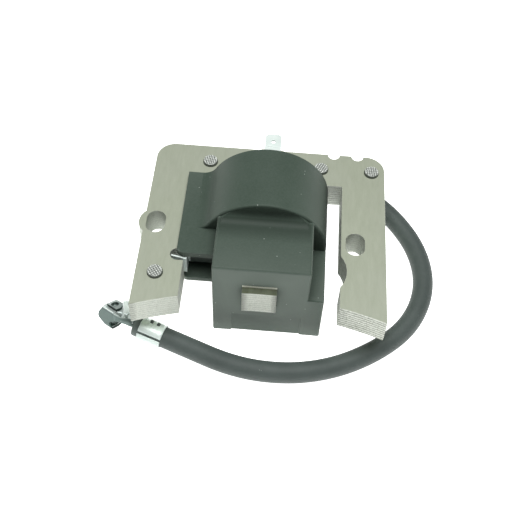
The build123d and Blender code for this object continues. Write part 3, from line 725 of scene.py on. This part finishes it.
def tube_rings(made, points, radius):
    """One ring of vertices per point, turned as little as possible from one to the next."""
    rings = []
    across = Vector((0, 0, 1))
    for index, point in enumerate(points):
        before = points[max(index - 1, 0)]
        after = points[min(index + 1, len(points) - 1)]
        along = (after - before).normalized()
        across = (across.cross(along).cross(along) * -1).normalized()
        side_way = along.cross(across)
        ring = []
        for side in range(LEAD_SIDES):
            angle = 2 * math.pi * side / LEAD_SIDES
            out = across * math.cos(angle) + side_way * math.sin(angle)
            ring.append(made.verts.new(point + out * radius))
        rings.append(ring)
    return rings


lead_line = lead_points()
lead_end = lead_line[-1]
lead_out = (Vector(LEAD_ROUTE[-1]) - Vector(LEAD_ROUTE[-2])).normalized()


def add_lead():
    """The rubber, cut square at its far end, with a short bore round the strand."""
    made = bmesh.new()
    body = [point for point in lead_line if (point - lead_end).length > END_CLEAR * MM]
    rings = tube_rings(made, body, LEAD_RADIUS * MM)
    last = rings[-1]
    for back, radius in CUT_END:
        centre = lead_end - lead_out * back * MM
        ring = []
        for vertex in last:
            out = vertex.co - body[-1]
            out -= lead_out * out.dot(lead_out)
            ring.append(made.verts.new(centre + out.normalized() * radius * MM))
        rings.append(ring)
    join_rings(made, rings)
    close_ends(made, rings)
    bmesh.ops.recalc_face_normals(made, faces=made.faces)
    return add_piece(made, "ignition_lead_jacket", "lead_jacket", 50.0)


lead = add_lead()


# ---------- sheet-metal ends of the lead ----------
EDGE_ROUND = 0.12


def between(table, place):
    """The value at a place in a table of (place, value) pairs, on straight lines between them."""
    for (start, first), (end, last) in zip(table, table[1:]):
        if place <= end:
            share = (place - start) / (end - start)
            return first + (last - first) * min(max(share, 0.0), 1.0)
    return table[-1][1]


def grid_faces(made, rows, leave_out=None):
    """Faces between open rows of vertices, except the cells to be left out."""
    for index in range(len(rows) - 1):
        first, second = rows[index], rows[index + 1]
        for side in range(len(first) - 1):
            corners = (first[side], first[side + 1], second[side + 1], second[side])
            if leave_out is None or not leave_out(index, side):
                made.faces.new(corners)


def bell(distance, width):
    """1 at no distance, falling smoothly to 0 within about two widths."""
    return math.exp(-((distance / width) ** 2))


def add_sheet_metal(made, name, node, thickness):
    """A surface given its thickness and small rounded edges."""
    for vertex in [v for v in made.verts if not v.link_faces]:
        made.verts.remove(vertex)
    bmesh.ops.recalc_face_normals(made, faces=made.faces)
    piece = add_piece(made, name, node, 180.0)
    solid = piece.modifiers.new("thickness", "SOLIDIFY")
    solid.thickness = thickness * MM
    solid.offset = 0.0
    edges = piece.modifiers.new("rounded_edges", "BEVEL")
    edges.width = EDGE_ROUND * MM
    edges.segments = 2
    edges.limit_method = "ANGLE"
    edges.angle_limit = math.radians(50)
    even_shading(piece)


FERRULE_LENGTH = 8.8
FERRULE_MIDDLE = 4.0
FERRULE_WALL = 0.4
FERRULE_STEP = 0.2
FERRULE_SIDES = 116
JACKET_STUB = 2.4
SEAM_ANGLE = 147.0
SEAM_HALF = 7.2
WINDOW_ANGLE = 55.0
WINDOW_HALF = 20.0
WINDOWS = [(2.8, 4.0), (5.4, 6.6)]
RIDGE_ANGLE = 30.0
RIDGE_WIDTH = 0.45
RIDGE_HEIGHT = 0.26
RIDGE_DIP = -0.12
MOUTH_FLARE = 0.22
MOUTH_LENGTH = 0.6
REAR_FLARE = 0.15
REAR_LENGTH = 0.5


def from_window(degrees):
    """The signed angle from the middle of the windows."""
    return (degrees - WINDOW_ANGLE + 180) % 360 - 180


def ferrule_radius(along, degrees):
    """The sleeve's middle radius: ridges beside its windows, two faint dents and flared ends."""
    shape = 0.0
    for start, end in WINDOWS:
        beside = min(abs(along - start), abs(along - end))
        height = RIDGE_DIP if start < along < end else RIDGE_HEIGHT
        shape += height * bell(beside, RIDGE_WIDTH)
    shape += -0.14 * bell(along - 8.0, 0.4) - 0.1 * bell(along - 1.4, 0.5)
    mouth = max(0.0, (along - FERRULE_LENGTH) / MOUTH_LENGTH + 1)
    rear = max(0.0, 1 - along / REAR_LENGTH)
    flare = MOUTH_FLARE * mouth**2 + REAR_FLARE * rear**2
    return FERRULE_MIDDLE + bell(from_window(degrees), RIDGE_ANGLE) * shape + flare


def add_ferrule():
    """The rolled sleeve, open along its seam, with two windows."""
    made = bmesh.new()
    back = Vector((lead_out.y, -lead_out.x, 0)).normalized()
    side_way = (-lead_out).cross(back)
    origin = lead_end - lead_out * JACKET_STUB * MM
    steps = round(FERRULE_LENGTH / FERRULE_STEP)
    stops = {round(FERRULE_STEP * step, 3) for step in range(steps + 1)}
    stops = sorted(stops | {edge for window in WINDOWS for edge in window})
    turn = (360 - 2 * SEAM_HALF) / FERRULE_SIDES
    angles = [SEAM_ANGLE + SEAM_HALF + turn * step for step in range(FERRULE_SIDES + 1)]
    rows = []
    for along in stops:
        row = []
        for degrees in angles:
            angle = math.radians(degrees)
            out = back * math.cos(angle) + side_way * math.sin(angle)
            place = origin + (out * ferrule_radius(along, degrees) - lead_out * along) * MM
            row.append(made.verts.new(place))
        rows.append(row)

    def in_window(index, side):
        along = (stops[index] + stops[index + 1]) / 2
        off = from_window((angles[side] + angles[side + 1]) / 2)
        return abs(off) < WINDOW_HALF and any(low < along < high for low, high in WINDOWS)

    grid_faces(made, rows, in_window)
    add_sheet_metal(made, "crimped_sleeve", "crimp_ferrule", FERRULE_WALL)


CLIP_CENTRE = Vector((-51.85, -25.15, 5.61))
CLIP_ALONG = Vector((0.725, -0.600, 0.336)).normalized()
CLIP_UP = CLIP_ALONG.cross(Vector((0.685, 0.680, -0.256))).normalized()
CLIP_BACK = CLIP_UP.cross(CLIP_ALONG)
CLIP_SHEET = 0.6
WEB = -2.55
EAR = 4.3
FOLD = 0.9
LOWER_TIP = 2.5
UPPER_TIP = 2.9
EAR_START = WEB + FOLD
WEB_LOW = FOLD - EAR
WEB_HIGH = EAR - FOLD
LOWER_RUN = LOWER_TIP - EAR_START
WEB_FROM = LOWER_RUN + math.pi / 2 * FOLD
WEB_TO = WEB_FROM + WEB_HIGH - WEB_LOW
UPPER_FROM = WEB_TO + math.pi / 2 * FOLD
CLIP_RUN = UPPER_FROM + UPPER_TIP - EAR_START
COLLAR = 1.3
COLLAR_SIDES = 64
COLLAR_RINGS = [(COLLAR, 0.0), (1.2, 0.05), (1.1, 0.18), (1.03, 0.4), (1.0, 0.7), (1.0, 0.98)]
GAP_FROM = WEB_TO + 0.40
GAP_LEFT = -1.7


def clip_section(run):
    """(back, up, way in) on the bent sheet's line, from the lower ear's tip to the upper's."""
    if run < LOWER_RUN:
        return LOWER_TIP - run, -EAR, (0, 1)
    if run < WEB_FROM:
        angle = (run - LOWER_RUN) / FOLD
        inward = (math.sin(angle), math.cos(angle))
        return EAR_START - FOLD * inward[0], WEB_LOW - FOLD * inward[1], inward
    if run < WEB_TO:
        return WEB, run - WEB_FROM + WEB_LOW, (1, 0)
    if run < UPPER_FROM:
        angle = (run - WEB_TO) / FOLD
        inward = (math.cos(angle), -math.sin(angle))
        return EAR_START - FOLD * inward[0], WEB_HIGH - FOLD * inward[1], inward
    return EAR_START + run - UPPER_FROM, EAR, (0, -1)


def web_run(up):
    """Where on the bent sheet's line a height on the web is."""
    return WEB_FROM + up - WEB_LOW


def upper_run(back):
    """Where on the bent sheet's line a depth on the upper ear is."""
    return UPPER_FROM + back - EAR_START


def tent(distance, width):
    """1 at no distance, falling straight to 0 at a width."""
    return max(0.0, 1.0 - abs(distance) / width)


def sheen_and_shade(along, run, right):
    """How much painted highlight or painted shade the plating gets, from 1 at the bent rims to -1 in
    the darkest grooves.
    """
    to_edge = right - along
    if run < WEB_FROM - 0.5:
        if to_edge < 0.12:
            return -0.9
        lower_fold = math.exp(-(((run - LOWER_RUN - 0.5) / 0.4) ** 4))
        return max(tent(to_edge - 0.55, 0.45), lower_fold)
    if run < GAP_FROM:
        to_gap = GAP_FROM - run
        return tent(to_gap, 0.5) - 0.45 * tent(to_gap - 0.95, 0.35)
    if run < UPPER_FROM:
        return 0.9
    rim = max(tent(run - UPPER_FROM, 0.45), 0.7 - to_edge / 0.5)
    pale = 0.24 + 0.34 * max(0.0, min(1.0, (0.6 - along) / 2.6))
    return pale - (0.85 + pale) * min(1.0, rim * 1.6)


LEFT_SIDE = [
    (0.0, -2.2),
    (LOWER_TIP - 1.4, -3.1),
    (LOWER_RUN, -2.8),
    (web_run(-3.4), -4.1),
    (web_run(-2.4), -6.6),
    (web_run(-1.7), -7.0),
    (web_run(0.1), -6.5),
    (web_run(2.1), -4.7),
    (web_run(3.4), -3.4),
    (UPPER_FROM, -2.5),
    (CLIP_RUN - 0.4, -2.45),
    (CLIP_RUN, -1.5),
]
RIGHT_SIDE = [
    (0.0, -0.2),
    (LOWER_TIP - 0.8, 0.5),
    (LOWER_RUN, 0.7),
    (web_run(-3.4), 0.5),
    (web_run(-2.8), -0.1),
    (web_run(-2.0), -0.2),
    (web_run(-0.9), 1.1),
    (web_run(-0.1), 2.6),
    (web_run(0.4), 3.1),
    (web_run(3.4), 3.3),
    (UPPER_FROM, 3.6),
    (upper_run(0.2), 3.75),
    (upper_run(2.2), 3.0),
    (CLIP_RUN, 2.0),
]
DIMPLES = [(-1.6, LOWER_TIP), (0.0, upper_run(0.5))]
NECK_FROM = 0.4
NECK_TO = 3.78
NECK_START = 3.2
NECK_LOW = [(0.0, NECK_FROM), (2.3, 0.4), (4.1, 0.05), (5.5, -0.55), (12.0, -1.4)]
NECK_HIGH = [(0.0, NECK_TO), (1.8, 2.75), (2.8, 2.3), (4.6, 2.55), (6.0, 2.3), (12.0, 1.7)]
NECK_LEAD = 1.8
NECK_CAMBER = 0.35
NECK_STEPS = 60
SNAP_REACH = 0.1
CLIP_ROWS = 170
CLIP_COLUMNS = 64


def sheet_point(along, run, depth=0.0):
    """A point of the bent sheet's middle surface, or this far inwards from it."""
    back, up, inward = clip_section(run)
    back += depth * inward[0]
    up += depth * inward[1]
    place = CLIP_CENTRE + CLIP_ALONG * along + CLIP_BACK * back + CLIP_UP * up
    return place * MM


def snapped(along, run, middle):
    """A grid point moved on to the edge of a dimple's opening when it lies close to it."""
    away = Vector((along - middle[0], run - middle[1]))
    if abs(away.length - COLLAR) < SNAP_REACH:
        away.normalize()
        return middle[0] + away.x * COLLAR, middle[1] + away.y * COLLAR
    return along, run


def neck_line(share):
    """The neck's middle line, in millimetres, from the web's edge to the lead's strand."""
    root = CLIP_CENTRE + CLIP_ALONG * NECK_START + CLIP_BACK * WEB
    pulled = root + CLIP_ALONG * NECK_LEAD
    end = lead_end / MM
    return root * (1 - share) ** 2 + pulled * 2 * share * (1 - share) + end * share**2


def neck_axes(root):
    """Directions along the neck, out of its outer face and up across it."""
    along = (lead_end / MM - root).normalized()
    out = along.cross(CLIP_UP).normalized()
    return along, out, out.cross(along)


def add_neck(made, layer, web_edge):
    """The neck's faces, from the web's last column of vertices to the lead's end."""
    root = neck_line(0.0)
    along, out, up = neck_axes(root)
    rows = []
    for vertex, rise_share in web_edge:
        row = [vertex]
        crown = NECK_CAMBER * (1 - (2 * rise_share - 1) ** 2)
        rim_highlight = max(0.0, (rise_share - 0.8) / 0.2)
        for step in range(1, NECK_STEPS + 1):
            share = step / NECK_STEPS
            line = neck_line(share)
            run = (line - root).dot(along)
            low, high = between(NECK_LOW, run), between(NECK_HIGH, run)
            rise = CLIP_UP.lerp(up, share) * (low + (high - low) * rise_share)
            camber = out * crown * min(1.0, max(0.0, run - 1.5) / 3)
            row.append(made.verts.new((line + rise + camber) * MM))
            # Painted highlight along the neck's top rim, fading towards the lead.
            row[-1][layer] = 0.09 + 0.5 * rim_highlight * (1 - share)
        rows.append(row)
    grid_faces(made, rows)


def add_collars(made, layer):
    """The rims that the dimples are pierced with, turned inwards."""
    for along, run in DIMPLES:
        rings = []
        for radius, depth in COLLAR_RINGS:
            ring = []
            for side in range(COLLAR_SIDES):
                angle = 2 * math.pi * side / COLLAR_SIDES
                across = along + radius * math.cos(angle)
                here = run + radius * math.sin(angle)
                ring.append(made.verts.new(sheet_point(across, here, depth)))
                # Painted shade on the collar's outer rings, a faint painted highlight on the inner
                # ones.
                ring[-1][layer] = -0.9 if depth < 0.3 else 0.1
            rings.append(ring + ring[:1])
        grid_faces(made, rings)


def from_dimple(along, run):
    """The distance on the flat sheet to the nearest dimple's middle."""
    return min(math.hypot(along - x, run - y) for x, y in DIMPLES)


def add_bent_sheet(made, layer):
    """The ears, folds and web, and the vertices of the web's right side that the neck starts at."""
    rows, places = [], []
    for step in range(CLIP_ROWS + 1):
        run = CLIP_RUN * step / CLIP_ROWS
        left, right = between(LEFT_SIDE, run), between(RIGHT_SIDE, run)
        row, flat = [], []
        for column in range(CLIP_COLUMNS + 1):
            along = left + (right - left) * column / CLIP_COLUMNS
            here = run
            for middle in DIMPLES:
                along, here = snapped(along, here, middle)
            row.append(made.verts.new(sheet_point(along, here)))
            # Painted shade in a ring round each dimple's opening.
            dimple_shade = max(0.0, 1.0 - (from_dimple(along, here) - COLLAR) / 0.25)
            row[-1][layer] = sheen_and_shade(along, here, right) - 0.6 * dimple_shade
            flat.append((along, here))
        rows.append(row)
        places.append(flat)

    def left_out(index, side):
        first, second = places[index][side], places[index + 1][side + 1]
        along, run = (first[0] + second[0]) / 2, (first[1] + second[1]) / 2
        in_gap = GAP_FROM < run < UPPER_FROM and along > GAP_LEFT
        return in_gap or from_dimple(along, run) < COLLAR

    grid_faces(made, rows, left_out)
    web_edge = []
    for row, flat in zip(rows, places):
        run = flat[-1][1]
        if web_run(NECK_FROM) < run < GAP_FROM:
            web_edge.append((row[-1], (run - web_run(NECK_FROM)) / (NECK_TO - NECK_FROM)))
    return web_edge


def add_clip():
    made = bmesh.new()
    layer = made.verts.layers.float.new("wear_sheen_and_shade")
    web_edge = add_bent_sheet(made, layer)
    add_neck(made, layer, web_edge)
    add_collars(made, layer)
    add_sheet_metal(made, "plug_clip", "spark_plug_clip", CLIP_SHEET)


STRIP_BEND = [(-1.75, 1.6), (-1.75, 3.0), (-1.7, 3.3), (-1.5, 3.5), (-1.2, 3.55), (1.4, 3.5)]
STRIP_LEFT = -2.2
STRIP_RIGHT = 6.2
STRIP_TURN = 2.5
STRIP_COLUMNS = 32


def add_inner_strip():
    """The pale strip of sheet that shows in the gap between the web and the upper ear, painted pale
    with painted light.
    """
    made = bmesh.new()
    layer = made.verts.layers.float.new("wear_sheen_and_shade")
    rows = []
    for back, up in STRIP_BEND:
        row = []
        for column in range(STRIP_COLUMNS + 1):
            along = STRIP_LEFT + (STRIP_RIGHT - STRIP_LEFT) * column / STRIP_COLUMNS
            turned = max(0.0, along - STRIP_TURN)
            place = CLIP_CENTRE + CLIP_ALONG * along
            place += CLIP_BACK * (back + 0.8 * turned) + CLIP_UP * (up - 0.3 * turned)
            row.append(made.verts.new(place * MM))
            # Painted light: the strip is painted pale.
            row[-1][layer] = 0.42
        rows.append(row)
    grid_faces(made, rows)
    add_sheet_metal(made, "clip_inner_strip", "spark_plug_clip", CLIP_SHEET)


WING_FOOT = -0.2
WING_TOP = 7.1
WING_LEFT = [(WING_FOOT, -1.6), (2.2, -1.3), (4.1, -1.4), (6.6, -2.0), (WING_TOP, -1.9)]
WING_RIGHT = [(WING_FOOT, 3.0), (2.4, 3.0), (3.7, 2.8), (5.5, 1.6), (WING_TOP, -0.2)]
WING_START = (3.6, 1.0)
WING_LEAN = math.radians(24.0)
WING_CURL = 0.9
WING_ROWS = 40
WING_COLUMNS = 24


def add_wing():
    """The wing of sheet that stands on the neck, curled about its length, painted bright with a
    painted highlight.
    """
    made = bmesh.new()
    layer = made.verts.layers.float.new("wear_sheen_and_shade")
    root = CLIP_CENTRE + CLIP_ALONG * NECK_START + CLIP_UP * 0.35 + CLIP_BACK * WEB
    along, out, up = neck_axes(root)
    base = root + along * WING_START[0] + up * WING_START[1]
    leaning = up * math.cos(WING_LEAN) - out * math.sin(WING_LEAN)
    rows = []
    for step in range(WING_ROWS + 1):
        rise = WING_FOOT + (WING_TOP - WING_FOOT) * step / WING_ROWS
        left, right = between(WING_LEFT, rise), between(WING_RIGHT, rise)
        row = []
        for column in range(WING_COLUMNS + 1):
            share = column / WING_COLUMNS
            run = left + (right - left) * share
            curl = WING_CURL * (2 * share - 1) ** 2
            place = base + along * run + leaning * rise + out * curl
            row.append(made.verts.new(place * MM))
            # Painted highlight over the wing, less at its foot.
            row[-1][layer] = 0.95 if rise > 1.0 else 0.6
        rows.append(row)
    grid_faces(made, rows)
    add_sheet_metal(made, "clip_wing", "spark_plug_clip", CLIP_SHEET)


add_ferrule()
add_clip()
add_inner_strip()
add_wing()


# ---------- floor, world and lights ----------
def add_floor():
    mesh = bpy.data.meshes.new("floor")
    made = bmesh.new()
    bmesh.ops.create_grid(made, x_segments=1, y_segments=1, size=1.5)
    made.to_mesh(mesh)
    made.free()
    floor = bpy.data.objects.new("floor", mesh)
    scene.collection.objects.link(floor)
    shader = Shader("pale_floor", Roughness=0.9, Specular_IOR_Level=0.1)
    tone = shader.noise(6, 2, 0.5)
    colour = shader.mix(shader.ramp(tone, 0.2, 0.8), (0.93, 0.935, 0.93), (0.95, 0.955, 0.95))
    shader.set("Base Color", colour)
    shader.set("Emission Color", (1.0, 1.0, 1.0, 1.0))
    shader.set("Emission Strength", 1.25)
    mesh.materials.append(shader.material)


def add_light(name, place, aim, size, power):
    data = bpy.data.lights.new(name, "AREA")
    data.shape = "DISK"
    data.size = size
    data.energy = power
    light = bpy.data.objects.new(name, data)
    direction = Vector(aim) - Vector(place)
    light.rotation_euler = direction.to_track_quat("-Z", "Y").to_euler()
    light.location = place
    scene.collection.objects.link(light)


def add_world():
    world = bpy.data.worlds.new("studio")
    world.use_nodes = True
    background = world.node_tree.nodes["Background"]
    background.inputs["Color"].default_value = (1.0, 1.0, 1.0, 1.0)
    background.inputs["Strength"].default_value = 0.1
    scene.world = world


add_floor()
add_world()
add_light("overhead", (0.02, -0.02, 0.90), (0, 0, 0.02), 0.7, 9.3)
scene.view_settings.view_transform = "Standard"
